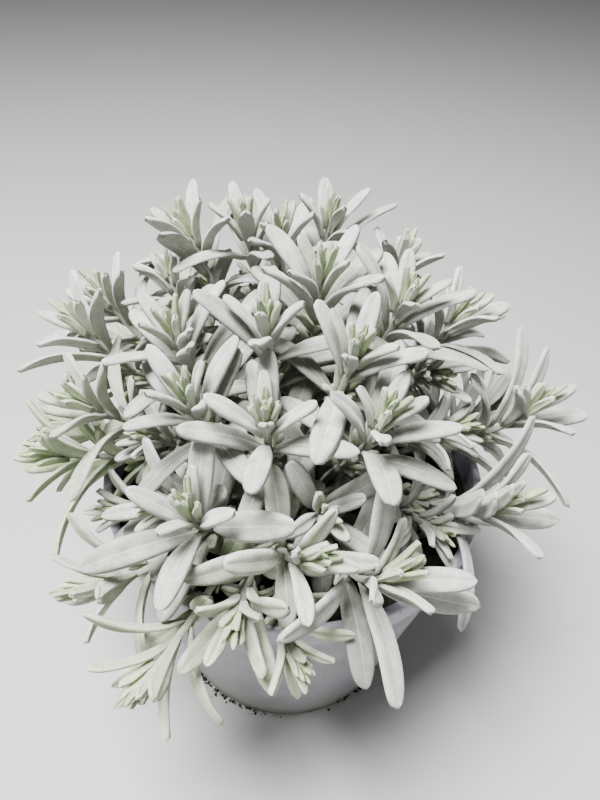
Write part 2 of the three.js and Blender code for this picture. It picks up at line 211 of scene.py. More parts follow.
# The angles of a hair's three corners
THIRDS = (0, 2.094, 4.189)

# Colours, each as its dark and its light end or as one
SILVER = ((0.34, 0.341, 0.312), (0.47, 0.47, 0.442))
GREEN = ((0.24, 0.34, 0.11), (0.38, 0.48, 0.21))
# Old leaves low in the bush: greyer felt, and in part painted shade of the bush's inside
OLD_FELT_AND_SHADE = ((0.18, 0.19, 0.152), (0.29, 0.298, 0.252))
# The leaves' feet: greener, and darkened with painted shade where they meet the stem
LEAF_FOOT_GREEN_AND_SHADE = (0.15, 0.185, 0.1)
# Painted shadow on both sides of the midrib line
RIB_SIDE_SHADOW = (0.28, 0.31, 0.24)
MIDRIB = (0.62, 0.62, 0.58)
# Paler margins: their own whitish wool, and in part a painted sheen of light on the hairs
MARGIN_WOOL_AND_SHEEN = (0.56, 0.56, 0.535)
# The underside: greyer felt, and in part painted shade where it faces down
UNDERSIDE_GREY_AND_SHADE = (0.34, 0.37, 0.3)
STEM_FELT = (0.27, 0.28, 0.23)
DRY_TIP = (0.12, 0.085, 0.055)
SHEEN_TINT = (1, 1, 0.97, 1)
DRY_LEAF = ((0.16, 0.115, 0.075), (0.36, 0.29, 0.21))
PEAT = ((0.008, 0.007, 0.006), (0.045, 0.038, 0.028))
FIBRE = ((0.05, 0.038, 0.026), (0.15, 0.115, 0.08))
WHITE_GRAIN = (0.55, 0.54, 0.5)
POT_WALL = ((0.15, 0.149, 0.168), (0.23, 0.229, 0.252))
POT_STREAK = (0.27, 0.27, 0.29)
# Painted light: the rim band as a lighter copy of the wall's plastic, lit through where no peat is behind it
POT_RIM_LIT = ((0.24, 0.24, 0.275), (0.32, 0.32, 0.36))
POT_SPECK = (0.12, 0.1, 0.08)
POT_STAIN = (0.2, 0.195, 0.135)
POT_GRIME = (0.055, 0.05, 0.026)
FLOOR = (0.36, 0.355, 0.35, 1)
SKY = (0.86, 0.88, 0.92, 1)

# Studio, in metres: the floor's half side, the sky's strength, and each light's place, size and power
FLOOR_REACH = 3.0
SKY_STRENGTH = 0.26
LIGHT_AIM = (0, 0, 0.12)
LIGHTS = {
    "overhead": ((-0.2, -0.14, 0.93), 0.36, 50),
    "fill": ((0.5, -0.8, 0.45), 0.6, 1),
}

# The photo's camera: place and aim in millimetres, focal length in pixels of the 800 tall picture, roll in
# degrees, the sensor's longer side in millimetres, and the nearest distance that it shows in metres
CAMERA_PLACE = (0.7, -171.1, 282.1)
CAMERA_AIM = (0.7, 0, 136)
FOCAL_PIXELS = 650
PICTURE_HEIGHT = 800
CAMERA_ROLL = 3.3
SENSOR = 36
NEAREST = 0.01

UP = np.array((0.0, 0.0, 1.0))


def polar(azimuth, radius, z):
    """A point or a direction from an angle in degrees round the pot's axis."""
    angle = math.radians(azimuth)
    return np.array((radius * math.cos(angle), radius * math.sin(angle), z))


def unit(vector):
    return vector / np.linalg.norm(vector)


def unit_rows(rows):
    return rows / (np.linalg.norm(rows, axis=1, keepdims=True) + 1e-9)


def round_angles(sides):
    return np.linspace(0, math.tau, sides, endpoint=False)


def level_ring(radius, z, sides):
    """A level circle of points round the pot's axis."""
    angles = round_angles(sides)
    return np.stack((radius * np.cos(angles), radius * np.sin(angles), np.full(sides, z)), axis=1)


def tilted_ring(centre, side, face, radius, sides):
    """A circle of points in the plane of two directions."""
    angles = round_angles(sides)
    return centre + radius * (np.cos(angles)[:, None] * side + np.sin(angles)[:, None] * face)


def curve_point(ends, t):
    """A point of the cubic curve that four points steer, at t from 0 to 1."""
    rest = 1 - t
    shares = (rest * rest * rest, 3 * rest * rest * t, 3 * rest * t * t, t * t * t)
    return sum(share * end for share, end in zip(shares, ends))


def curve_run(ends, t):
    """How that curve's point moves with t."""
    rest = 1 - t
    shares = (-3 * rest * rest, 3 * rest * rest - 6 * rest * t, 6 * rest * t - 3 * t * t, 3 * t * t)
    return sum(share * end for share, end in zip(shares, ends))


def draws(seeds, index):
    """A generator of repeatable draws from -1 to 1."""
    first, step = seeds
    state = first + step * index
    while True:
        state = (state * 1664525 + 1013904223) % 4294967296
        yield state / 2147483648 - 1


def place_roots():
    """Where the stems stand in the soil, pushed clear of each other."""
    roots = [polar(azimuth, ROOT_RING + STEM_SPREAD * reach, SOIL_TOP) for azimuth, reach, *_ in ROSETTES]
    for _ in range(ROOT_PUSHES):
        for i, root in enumerate(roots):
            for other in roots[:i]:
                apart = np.linalg.norm(root - other)
                if apart < STEM_APART:
                    push = (root - other) * ((STEM_APART / apart - 1) / 2)
                    root += push
                    other -= push
    return roots


class Stem:
    """One curve from the soil to its tip, with the seats of its leaf pairs from the youngest down."""

    def __init__(self, rosette, root, index):
        azimuth, reach, height, facing, lean, self.size = rosette
        heart = polar(azimuth, reach, height)
        heading = polar(facing, math.sin(math.radians(lean)), math.cos(math.radians(lean)))
        tip = heart + heading * HEART_TO_TIP * self.size
        self.length = np.linalg.norm(tip - root)
        rise = self.length * CURVE_REACH
        self.side = polar(facing + 90, 1, 0)
        self.ends = (root, root + UP * rise, tip - heading * rise, tip)
        self.draw = draws(STEM_SEEDS, index)
        self.turn = math.radians(45 * next(self.draw))
        self.most_pairs = PAIRS * self.size + 0.6
        self.seats = [1 - self.size / np.linalg.norm(curve_run(self.ends, 1))]
        for pair in range(PAIRS - 1):
            seat = self.seats[-1]
            seat -= (SEAT_HEIGHT + self.size * (0.6 + pair)) / np.linalg.norm(curve_run(self.ends, seat))
            if seat <= LOWEST_PAIR or pair >= self.most_pairs:
                break
            self.seats.append(seat)

    def point(self, t):
        return curve_point(self.ends, t)

    def frame(self, t):
        axis = unit(curve_run(self.ends, t))
        face = unit(np.cross(axis, self.side))
        return axis, np.cross(face, axis), face

    def half(self, t):
        """Half the side of the square section."""
        return STEM_FOOT + (STEM_TOP - STEM_FOOT) * min(1, max(0, t))


class Leaf:
    """A blade whose middle line bends in one plane away from its stem."""

    def __init__(self, root, axis, out, open_start, open_end, length, width, twist, sway, foot, age):
        self.root, self.axis, self.out = root, axis, out
        self.open_start, self.open_end = open_start, open_end
        self.length, self.width = length, width
        self.twist, self.sway = twist, sway
        self.foot, self.age = foot, age

    def frame(self, share):
        """Points, directions across and normals at shares of the length."""
        share = np.atleast_1d(share)[:, None]
        bend = self.open_end - self.open_start
        angle = self.open_start + bend * share
        forward = (np.sin(angle) - math.sin(self.open_start)) / bend
        outward = (math.cos(self.open_start) - np.cos(angle)) / bend
        across = np.cross(self.axis, self.out)
        sideways = self.sway * share * share
        point = self.root + self.length * (self.axis * forward + self.out * outward + across * sideways)
        upper = self.axis * np.sin(angle) - self.out * np.cos(angle)
        twist = self.twist * share
        wide = across * np.cos(twist) + upper * np.sin(twist)
        normal = upper * np.cos(twist) - across * np.sin(twist)
        return point, wide, normal

    def half_width(self, share):
        """Half the width: a foot as wide as the stem, widest past the middle, and a round tip."""
        blade = self.width / 2 * (share / WIDEST_AT) ** 0.75 * ((1 - share) / (1 - WIDEST_AT)) ** 0.45
        foot = self.foot * np.clip(1 - 1.6 * share, 0, 1)
        return (blade**3 + foot**3) ** (1 / 3)


def paired_leaf(stem, t, pair, half):
    """The leaf that the source grows here, by its numbers, as a function of the try it took to stay clear."""
    axis, side, face = stem.frame(t)
    turn = stem.turn + math.radians(90 * pair + 180 * half + 8 * next(stem.draw))
    opened = math.radians(5 + 7.5 * pair + 5 * next(stem.draw))
    share = min(1, 0.34 + 0.17 * pair) * (1 + 0.1 * next(stem.draw))
    twist = math.radians(14 * next(stem.draw))
    sway = 0.06 * next(stem.draw)

    def leaf(shrink, more_turn, more_open):
        out = side * math.cos(turn + more_turn) + face * math.sin(turn + more_turn)
        open_start = opened + more_open
        return Leaf(
            stem.point(t) + out * stem.half(t),
            axis,
            out,
            open_start,
            open_start + math.radians(min(58, 14 + 9 * pair)) + more_open / 2,
            LEAF_LENGTH * stem.size * share * shrink,
            LEAF_WIDTH * stem.size * share**0.85 * (0.6 + 0.4 * shrink),
            twist,
            sway,
            stem.half(t) * 0.9,
            pair,
        )

    return leaf


def grown_leaves(stem, node):
    """The source's leaves on a stem, each by the try that the frame's solid shows."""
    corners = np.array([v.co for v in node.data.vertices]) / METRES
    found = []
    for pair, seat in enumerate(stem.seats):
        if pair >= stem.most_pairs:
            break
        for half in (0, 1):
            shape = paired_leaf(stem, seat, pair, half)
            for attempt in TRIES:
                leaf = shape(*attempt)
                tip = leaf.frame(1)[0][0]
                if np.min(np.sum((corners - tip) ** 2, axis=1)) < TIP_MATCH**2:
                    found.append(leaf)
                    break
    return found


def bud_leaves(stem, index):
    """The short pairs that stand upright round the bud."""
    draw = draws(BUD_SEEDS, index)
    axis, side, face = stem.frame(1)
    found = []
    for pair, share, opened, bend, ahead in BUD_PAIRS:
        for half in (0, 1):
            turn = stem.turn + math.radians(90 * pair + 180 * half + 8 * next(draw))
            out = side * math.cos(turn) + face * math.sin(turn)
            open_start = math.radians(opened + 3 * next(draw))
            found.append(
                Leaf(
                    stem.point(1) + axis * ahead * stem.size + out * 0.45,
                    axis,
                    out,
                    open_start,
                    open_start + math.radians(bend),
                    LEAF_LENGTH * stem.size * share * (1 + 0.12 * next(draw)),
                    LEAF_WIDTH * stem.size * (0.06 + 0.58 * share),
                    math.radians(8 * next(draw)),
                    0.03 * next(draw),
                    0.6,
                    pair,
                )
            )
    return found


def axil_leaves(stem, index):
    """Small leaves of the short shoots between an older leaf and the stem."""
    draw = draws(AXIL_SEEDS, index)
    found = []
    for pair, seat in enumerate(stem.seats):
        for half in (0, 1):
            if pair < AXIL_FROM or next(draw) < AXIL_DRAW:
                continue
            t = seat + AXIL_HEIGHT / stem.length
            axis, side, face = stem.frame(t)
            for spin in AXIL_SPINS:
                turn = stem.turn + math.radians(90 * pair + 180 * half + spin + 14 * next(draw))
                out = side * math.cos(turn) + face * math.sin(turn)
                open_start = math.radians(20 + 10 * next(draw))
                size = stem.size * (1 + 0.35 * next(draw)) * (0.7 if spin == AXIL_SPINS[-1] else 1)
                found.append(
                    Leaf(
                        stem.point(t) + out * stem.half(seat),
                        axis,
                        out,
                        open_start,
                        open_start + math.radians(24 + 8 * next(draw)),
                        LEAF_LENGTH * AXIL_LENGTH * size,
                        LEAF_WIDTH * AXIL_WIDTH * size,
                        math.radians(12 * next(draw)),
                        0.05 * next(draw),
                        0.4,
                        0,
                    )
                )
    return found


class Skin:
    """Vertices, faces and per-vertex values that are gathered for one mesh."""

    def __init__(self, **common):
        """common are values that every point of the mesh has."""
        self.points, self.faces, self.values = [], [], {}
        self.common = common
        self.count = 0

    def add(self, points, groups, **values):
        """groups are arrays of faces; each value is one number or an array for every point."""
        self.points.append(points)
        for faces in groups:
            self.faces.extend((faces + self.count).tolist())
        for name, value in (values | self.common).items():
            self.values.setdefault(name, []).append(np.broadcast_to(value, (len(points),)))
        self.count += len(points)

    def to_object(self, name, material):
        mesh = bpy.data.meshes.new(name)
        mesh.from_pydata((np.concatenate(self.points) * METRES).tolist(), [], self.faces)
        for key, parts in self.values.items():
            layer = mesh.attributes.new(key, "FLOAT", "POINT")
            layer.data.foreach_set("value", np.concatenate(parts).astype(np.float32))
        mesh.polygons.foreach_set("use_smooth", [True] * len(mesh.polygons))
        mesh.materials.append(material)
        mesh.update()
        piece = bpy.data.objects.new(name, mesh)
        bpy.context.scene.collection.objects.link(piece)
        return piece


def tube_sides(rings, sides):
    """Quads between rings of equal size."""
    row = np.arange(rings - 1)[:, None] * sides
    i = np.arange(sides)[None, :]
    j = (i + 1) % sides
    return np.stack((row + i, row + j, row + sides + j, row + sides + i), axis=-1).reshape(-1, 4)


def tube_ends(rings, sides):
    """A fan at each end, from the two points that follow the rings."""
    i = np.arange(sides)
    j = (i + 1) % sides
    first, last = np.full(sides, rings * sides), np.full(sides, rings * sides + 1)
    top = (rings - 1) * sides
    return np.concatenate((np.stack((first, j, i), axis=-1), np.stack((last, top + i, top + j), axis=-1)))


def add_tube(skin, rings, ends, flip=False, **values):
    """A closed tube from an array of rings of points and the two points that close it."""
    count, sides = rings.shape[:2]
    points = np.concatenate((rings.reshape(-1, 3), ends))
    groups = [tube_sides(count, sides), tube_ends(count, sides)]
    skin.add(points, [faces[:, ::-1] if flip else faces for faces in groups], **values)


def leaf_surface(leaf, across, rings):
    """The blade's rings and, for each point, its place along the leaf, across it, and whether it is below."""
    # Rings are closer together at the tip, whose end is round
    along = 1 - (1 - np.linspace(0, 0.996, rings)) ** 1.4
    point, wide, normal = leaf.frame(along)
    half = leaf.half_width(along)
    # Points are closer together at the midrib than at the margins
    upper = np.linspace(-1, 1, across)
    upper = np.sign(upper) * np.abs(upper) ** 1.25
    cross = np.concatenate((upper, upper[1:-1][::-1]))
    below = np.arange(len(cross)) >= across
    off_rib = np.abs(cross)[None, :]
    most = (YOUNG_PLUMP if leaf.age < OLD_FROM else OLD_PLUMP) * leaf.width
    thick = min(LEAF_THICKNESS * (0.8 + 0.2 * min(1, leaf.length / 25)), most)
    plump = np.minimum(1, half / (0.2 * leaf.width))[:, None]
    fade = np.clip((1 - along) / 0.25, 0.1, 1)[:, None]
    # The blade is a gutter near its foot and opens flat towards its tip
    folded = (1.35 - 0.8 * along)[:, None]
    rise = LEAF_GUTTER * (half / (leaf.width / 2))[:, None] * off_rib**1.15 * folded
    cushion = LEAF_CUSHION * np.sin(math.pi * off_rib) * plump
    line = MIDRIB_LINE * np.exp(-((off_rib / 0.07) ** 2)) * fade
    roll = MARGIN_ROLL * off_rib**5 * plump
    top = rise + cushion + line - roll
    body = thick * np.sqrt(np.clip(1 - off_rib**2.6, 0, 1)) * plump
    keel = MIDRIB_KEEL * np.exp(-((off_rib / 0.2) ** 2)) * fade * plump
    height = np.where(below[None, :], top - body - keel, top)
    height[:, [0, across - 1]] -= thick * 0.3 * plump
    # A slow wave along the margins, as no blade is quite flat
    wave = MARGIN_WAVE * np.sin(along * 9 + leaf.twist * 40)[:, None] * cross[None, :] * off_rib
    ring = (
        point[:, None, :]
        + wide[:, None, :] * (half[:, None] * cross[None, :])[:, :, None]
        + normal[:, None, :] * (height + wave)[:, :, None]
    )
    return along, cross, below, ring


def add_leaf(skin, leaf, tone, across, rings, dry=0.0):
    """A plump blade with a shallow gutter, a fine midrib line, rolled margins and a keel below."""
    surface = leaf_surface(leaf, across, rings)
    rows, columns, below, ring = surface
    tip, _, tip_normal = leaf.frame(1)
    ends = np.array((leaf.frame(0)[0][0], tip[0] - tip_normal[0] * 0.3))
    along = np.concatenate((np.repeat(rows, len(columns)), (0, 1)))
    cross = np.concatenate((np.tile(columns, rings), (0, 0)))
    under = np.concatenate((np.tile(below * 1.0, rings), (0.5, 0.5)))
    values = {"along": along, "across": cross, "under": under, "age": float(leaf.age), "tone": tone}
    add_tube(skin, ring, ends, flip=True, dry=dry * np.clip((along - 0.8) / 0.12, 0, 1), **values)
    return surface


def add_wool(skin, leaf, surface, rng, tone):
    """Hairs as closed three-sided spikes: along the margins, and thinner over both faces."""
    along, cross, below, ring = surface
    margin = int(WOOL_PER_MARGIN * leaf.length * 2)
    field = int(WOOL_PER_FACE * leaf.length * leaf.width * 2)
    sides = len(cross)
    across = np.argmax(below)
    # Each hair's place between four points of the blade: its row and column, and the shares beyond them
    row = rng.uniform(0.5, len(along) - 1.01, margin + field)
    edge = rng.integers(0, 2, margin) * (across - 1) + rng.uniform(-0.8, 0.8, margin)
    column = np.concatenate((edge, rng.uniform(0, sides, field)))
    lower, left = np.floor(row).astype(int), np.floor(column).astype(int)
    up, over = (row - lower)[:, None], (column - left)[:, None]
    left, right = left % sides, (left + 1) % sides
    near = ring[lower, left] * (1 - over) + ring[lower, right] * over
    far = ring[lower + 1, left] * (1 - over) + ring[lower + 1, right] * over
    base = near * (1 - up) + far * up
    forward = unit_rows(far - near)
    outward = unit_rows(np.cross(ring[lower, right] - ring[lower, left], forward))
    lean = unit_rows(outward + 0.9 * forward + rng.normal(0, 0.5, base.shape))
    length = WOOL_LENGTH * rng.uniform(0.5, 1.2, (len(base), 1)) * min(1, 0.5 + leaf.length / 40)
    length[margin:] *= 0.6
    first = unit_rows(np.cross(lean, forward))
    second = np.cross(lean, first)
    foot = base - lean * WOOL_ROOT
    corners = [foot + WOOL_WIDTH * (math.cos(a) * first + math.sin(a) * second) for a in THIRDS]
    points = np.stack((*corners, foot + lean * (length + WOOL_ROOT)), axis=1).reshape(-1, 3)
    start = np.arange(len(base))[:, None, None] * 4
    spike = np.array(((0, 1, 3), (1, 2, 3), (2, 0, 3), (0, 2, 1)))[None]
    faces = (start + spike).reshape(-1, 3)
    share = np.repeat(np.interp(row, np.arange(len(along)), along), 4)
    values = {"along": share, "across": 1.0, "under": 0.0, "age": float(leaf.age), "tone": tone}
    skin.add(points, [faces], dry=0.0, **values)


def add_stem(skin, stem):
    """A square stem with rounded corners, thicker at each pair's joint, from its hole to the bud."""
    turned = round_angles(STEM_SIDES)
    angles = turned + stem.turn
    square = 1 / (np.abs(np.cos(turned)) ** 5 + np.abs(np.sin(turned)) ** 5) ** (1 / 5)
    # Levels below 0 are millimetres under the soil's top, and the others are shares of the curve
    levels = [-HOLE_DEPTH, -HOLE_DEPTH / 2] + list(np.linspace(0, 1, STEM_RINGS))
    rings = []
    for level in levels:
        t = max(0, level)
        _, side, face = stem.frame(t)
        centre = stem.point(t) + UP * min(0, level)
        joint = sum(math.exp(-(((t - seat) * stem.length / JOINT_LENGTH) ** 2)) for seat in stem.seats)
        reach = stem.half(t) * (0.94 + JOINT_SWELL * joint) * square
        aside, ahead = reach * np.cos(angles), reach * np.sin(angles)
        rings.append(centre + side * aside[:, None] + face * ahead[:, None])
    axis = stem.frame(1)[0]
    ends = np.array((stem.ends[0] - UP * HOLE_DEPTH, stem.ends[3] + axis * STEM_POINT * stem.size))
    along = np.concatenate((np.repeat(np.clip(levels, 0, 1), STEM_SIDES), (0, 1)))
    add_tube(skin, np.array(rings), ends, along=along, across=0.6, under=0.5, age=STEM_AGE, tone=0.0, dry=0.0)


def lump_shape():
    """The points and faces of a ball."""
    ball = bmesh.new()
    bmesh.ops.create_icosphere(ball, subdivisions=2, radius=1)
    ball.verts.ensure_lookup_table()
    points = np.array([v.co[:] for v in ball.verts])
    faces = np.array([[v.index for v in f.verts] for f in ball.faces])
    ball.free()
    return points, faces


def add_lump(skin, shape, place, size, rng, squash=0.7, **values):
    """A rough grain: a ball pushed in and out, stretched and turned at random."""
    points, faces = shape
    shift = rng.uniform(-50, 50, 3)
    push = 1 + 0.5 * np.array([noise.noise(Vector(p * 1.7 + shift)) for p in points])
    turn = rng.uniform(0, math.tau)
    stretch = np.array((rng.uniform(0.7, 1.3), rng.uniform(0.7, 1.3), squash))
    shaped = points * push[:, None] * stretch
    spin = np.array(((math.cos(turn), -math.sin(turn), 0), (math.sin(turn), math.cos(turn), 0), (0, 0, 1)))
    skin.add(shaped @ spin.T * size + place, [faces], **values)


def soil_height(x, y):
    """The peat's top: broad humps, clods, grains and fine grit."""
    humps = [rise * noise.noise(Vector((x / wide, y / wide, layer))) for wide, layer, rise in SOIL_RELIEF]
    return SOIL_TOP + 0.2 + sum(humps)


def wall_radius(z):
    """The inside of the pot's wall at a height."""
    top = POT_HEIGHT - RIM_BAND_HEIGHT - 2
    share = (min(z, top) - FLOOR_THICKNESS) / (top - FLOOR_THICKNESS)
    foot = FOOT_RADIUS - WALL
    return foot + share * (WALL_TOP_RADIUS - WALL - foot)


def peat_place(rng, outer):
    """A random place within a radius, evenly spread."""
    angle, reach = rng.uniform(0, math.tau), outer * math.sqrt(rng.uniform(0, 1))
    return reach * math.cos(angle), reach * math.sin(angle)


def build_soil(material):
    """Peat with clods and grains: a closed body, with loose crumbs, fibres and white grains lying on it."""
    rng = np.random.default_rng(11)
    skin = Skin()
    outer = wall_radius(SOIL_TOP) - SOIL_GAP
    bottom = FLOOR_THICKNESS + SOIL_GAP
    rings = []
    for level in np.linspace(0, 1, 8):
        z = bottom + level * (SOIL_TOP - 1.5 - bottom)
        rings.append(level_ring(wall_radius(z) - SOIL_GAP, z, SOIL_SIDES))
    for share in np.linspace(1, 0.012, SOIL_ROUNDS):
        ring = level_ring(outer * share, 0.0, SOIL_SIDES)
        ring[:, 2] = [soil_height(x, y) for x, y, _ in ring]
        rings.append(ring)
    ends = np.array(((0, 0, bottom), (0, 0, soil_height(0, 0))))
    add_tube(skin, np.array(rings), ends, kind=0.0)
    ball = lump_shape()
    for _ in range(PEAT_CRUMBS):
        x, y = peat_place(rng, outer * 0.97)
        size = 0.5 + 1.5 * rng.uniform() ** 2
        place = np.array((x, y, soil_height(x, y) + size * 0.2))
        add_lump(skin, ball, place, size, rng, kind=rng.uniform(0.05, 0.3))
    for _ in range(WHITE_GRAINS):
        x, y = peat_place(rng, outer * 0.95)
        size = rng.uniform(0.5, 1.0)
        add_lump(skin, ball, np.array((x, y, soil_height(x, y) + 0.4 * size)), size, rng, 0.9, kind=1.0)
    for _ in range(PEAT_FIBRES):
        add_fibre(skin, np.array(peat_place(rng, outer * 0.9)), rng)
    piece = skin.to_object("peat", material)
    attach(piece, "root")
    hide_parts("soil")


def add_fibre(skin, start, rng):
    """A thin curved root or wood splinter lying on the peat."""
    heading, bend = rng.uniform(0, math.tau), rng.normal(0, 0.9)
    length, thick = rng.uniform(3, 9), rng.uniform(0.12, 0.3)
    rings = []
    for share in np.linspace(0, 1, 9):
        angle = heading + bend * share
        x, y = start + length * share * np.array((math.cos(angle), math.sin(angle)))
        if math.hypot(x, y) > wall_radius(SOIL_TOP) - 1:
            break
        z = soil_height(x, y) + 0.25 + 0.9 * math.sin(math.pi * share)
        width = thick * (0.5 + math.sin(math.pi * (0.1 + 0.8 * share)))
        side = np.array((-math.sin(angle), math.cos(angle), 0))
        rings.append(tilted_ring(np.array((x, y, z)), side, UP, width, 5))
    if len(rings) > 2:
        ends = np.array((rings[0].mean(axis=0), rings[-1].mean(axis=0)))
        add_tube(skin, np.array(rings), ends, kind=rng.uniform(0.45, 0.7))


def pot_profile():
    """Radius and height round the pot's section, from the middle of its underside to that of its floor."""
    band_foot = POT_HEIGHT - RIM_BAND_HEIGHT
    inside = RIM_RADIUS - RIM_LIP
    profile = [(0, 0), (FOOT_RADIUS - 2.2, 0), (FOOT_RADIUS - 1.2, 0.2), (FOOT_RADIUS - 0.5, 0.8)]
    wall = [
        (FOOT_RADIUS + share * (WALL_TOP_RADIUS - FOOT_RADIUS), 2 + share * (band_foot - 2.4))
        for share in np.linspace(0, 1, 22)
    ]
    rim = [
        (WALL_TOP_RADIUS + 0.25, band_foot - 0.1),
        (RIM_RADIUS - 1.5, band_foot + 0.15),
        (RIM_RADIUS - 0.95, band_foot + 0.55),
        (RIM_RADIUS - 0.7, band_foot + 1.2),
        (RIM_RADIUS - 0.35, band_foot + 5),
        (RIM_RADIUS - 0.1, POT_HEIGHT - 1.6),
        (RIM_RADIUS - 0.15, POT_HEIGHT - 0.9),
        (RIM_RADIUS - 0.5, POT_HEIGHT - 0.3),
        (RIM_RADIUS - 1.0, POT_HEIGHT),
        (inside + 1.0, POT_HEIGHT),
        (inside + 0.4, POT_HEIGHT - 0.3),
        (inside + 0.05, POT_HEIGHT - 1.0),
        (inside - 0.1, band_foot + 3),
    ]
    inner = [(wall_radius(z), z) for z in np.linspace(band_foot - 2, FLOOR_THICKNESS + 0.4, 14)]
    return profile + wall + rim + inner + [(FOOT_RADIUS - WALL - 1, FLOOR_THICKNESS), (0, FLOOR_THICKNESS)]


def build_pot(material):
    """The pot turned about its axis, with drain holes cut in its floor."""
    rings = [level_ring(radius, z, POT_SIDES) for radius, z in pot_profile()[1:-1]]
    skin = Skin()
    ends = np.array(((0, 0, 0), (0, 0, FLOOR_THICKNESS)))
    add_tube(skin, np.array(rings), ends)
    piece = skin.to_object("milky_pot", material)
    cutters = Skin()
    for i in range(DRAIN_COUNT):
        middle = polar(360 * (i + 0.5) / DRAIN_COUNT, DRAIN_RING, 0)
        levels = [middle + UP * z for z in (-DRAIN_CUT, FLOOR_THICKNESS + DRAIN_CUT)]
        hole = [centre + level_ring(DRAIN_RADIUS, 0, 32) for centre in levels]
        add_tube(cutters, np.array(hole), np.array(levels))
    cutter = cutters.to_object("drains", material)
    cut = piece.modifiers.new("drains", "BOOLEAN")
    cut.operation = "DIFFERENCE"
    cut.solver = "EXACT"
    cut.object = cutter
    finished = bpy.data.meshes.new_from_object(piece.evaluated_get(bpy.context.evaluated_depsgraph_get()))
    piece.modifiers.clear()
    piece.data = finished
    bpy.data.objects.remove(cutter)
    finished.set_sharp_from_angle(angle=math.radians(SHARP_ANGLE))
    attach(piece, "root")
    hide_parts("pot")


def build_crumbs(material):
    """Crumbs of peat that lie round the pot's foot in small heaps."""
    rng = np.random.default_rng(23)
    skin = Skin()
    ball = lump_shape()
    for heap in rng.uniform(0, math.tau, CRUMB_HEAPS):
        for _ in range(rng.integers(3, 17)):
            angle = heap + rng.normal(0, 0.11)
            size = 0.2 + 0.6 * rng.uniform() ** 3
            reach = FOOT_RADIUS - 0.5 + size * 0.6 + rng.exponential(0.7)
            place = np.array((reach * math.cos(angle), reach * math.sin(angle), size * rng.uniform(0.4, 0.8)))
            add_lump(skin, ball, place, size, rng, kind=0.5 * rng.uniform() ** 2)
    piece = skin.to_object("foot_crumbs", material)
    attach(piece, "root")


def add_arch(skin, ends, radius):
    """A thin round stem along one curve between two points."""
    ends = [np.array(end, dtype=float) for end in ends]
    rings = []
    for t in np.linspace(0, 1, 24):
        run = unit(curve_run(ends, t))
        side = unit(np.cross(run, (0.3, 0.2, 1)))
        rings.append(tilted_ring(curve_point(ends, t), side, np.cross(side, run), radius, 6))
    caps = np.array((rings[0].mean(axis=0), rings[-1].mean(axis=0)))
    add_tube(skin, np.array(rings), caps, along=0.5, across=0.5, under=0.0, age=2.0, tone=0.4, dry=0.0)


def build_dry_bits(material):
    """A curled dry leaf and a thin dry stem that arches over the peat."""
    skin = Skin()
    leaf = Leaf(
        root=np.array((44.0, -26.0, SOIL_TOP + 2.2)),
        axis=unit(np.array((0.75, 0.35, 0.35))),
        out=unit(np.array((-0.25, -0.1, 0.95))),
        open_start=math.radians(-40),
        open_end=math.radians(210),
        length=19,
        width=5,
        twist=1.5,
        sway=0.2,
        foot=0.5,
        age=2,
    )
    add_leaf(skin, leaf, 0.0, *LEAF_MESH)
    add_arch(skin, [(39, -20, 94.5), (42, -26, 107), (50, -34, 107), (52, -28, 95)], 0.35)
    piece = skin.to_object("dry_bits", material)
    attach(piece, "root")


def new_material(name):
    material = bpy.data.materials.new(name)
    material.use_nodes = True
    return material, material.node_tree, material.node_tree.nodes["Principled BSDF"]


def attribute(tree, name):
    node = tree.nodes.new("ShaderNodeAttribute")
    node.attribute_name = name
    return node.outputs["Fac"]


def height_above_floor(tree):
    """The object's own height, in millimetres."""
    coordinates = tree.nodes.new("ShaderNodeTexCoord").outputs["Object"]
    split = tree.nodes.new("ShaderNodeSeparateXYZ")
    tree.links.new(coordinates, split.inputs["Vector"])
    return math_node(tree, "MULTIPLY", split.outputs["Z"], 1 / METRES)


def noise_node(tree, scale, detail=4, roughness=0.55, stretch=None):
    """Noise over the object's own coordinates, in cycles per metre."""
    coordinates = tree.nodes.new("ShaderNodeTexCoord").outputs["Object"]
    if stretch:
        mapping = tree.nodes.new("ShaderNodeMapping")
        mapping.inputs["Scale"].default_value = stretch
        tree.links.new(coordinates, mapping.inputs["Vector"])
        coordinates = mapping.outputs["Vector"]
    node = tree.nodes.new("ShaderNodeTexNoise")
    node.inputs["Scale"].default_value = scale
    node.inputs["Detail"].default_value = detail
    node.inputs["Roughness"].default_value = roughness
    tree.links.new(coordinates, node.inputs["Vector"])
    return node.outputs["Fac"]


def spread(tree, value, low, high, out_low=0.0, out_high=1.0):
    """The value stretched from one range to another, and held at its ends."""
    node = tree.nodes.new("ShaderNodeMapRange")
    node.inputs["From Min"].default_value = low
    node.inputs["From Max"].default_value = high
    node.inputs["To Min"].default_value = out_low
    node.inputs["To Max"].default_value = out_high
    tree.links.new(value, node.inputs["Value"])
    return node.outputs["Result"]


def math_node(tree, kind, first, second=None):
    node = tree.nodes.new("ShaderNodeMath")
    node.operation = kind
    for socket, value in zip(node.inputs, (first, second)):
        if value is None:
            continue
        if isinstance(value, (int, float)):
            socket.default_value = value
        else:
            tree.links.new(value, socket)
    return node.outputs["Value"]


def product(tree, first, second):
    return math_node(tree, "MULTIPLY", first, second)


def mix(tree, share, first, second):
    """A mix of two colours, each a triple or a socket."""
    node = tree.nodes.new("ShaderNodeMix")
    node.data_type = "RGBA"
    tree.links.new(share, node.inputs["Factor"])
    for key, value in (("A", first), ("B", second)):
        socket = [i for i in node.inputs if i.name == key and i.type == "RGBA"][0]
        if isinstance(value, tuple):
            socket.default_value = (*value, 1)
        else:
            tree.links.new(value, socket)
    return [o for o in node.outputs if o.type == "RGBA"][0]


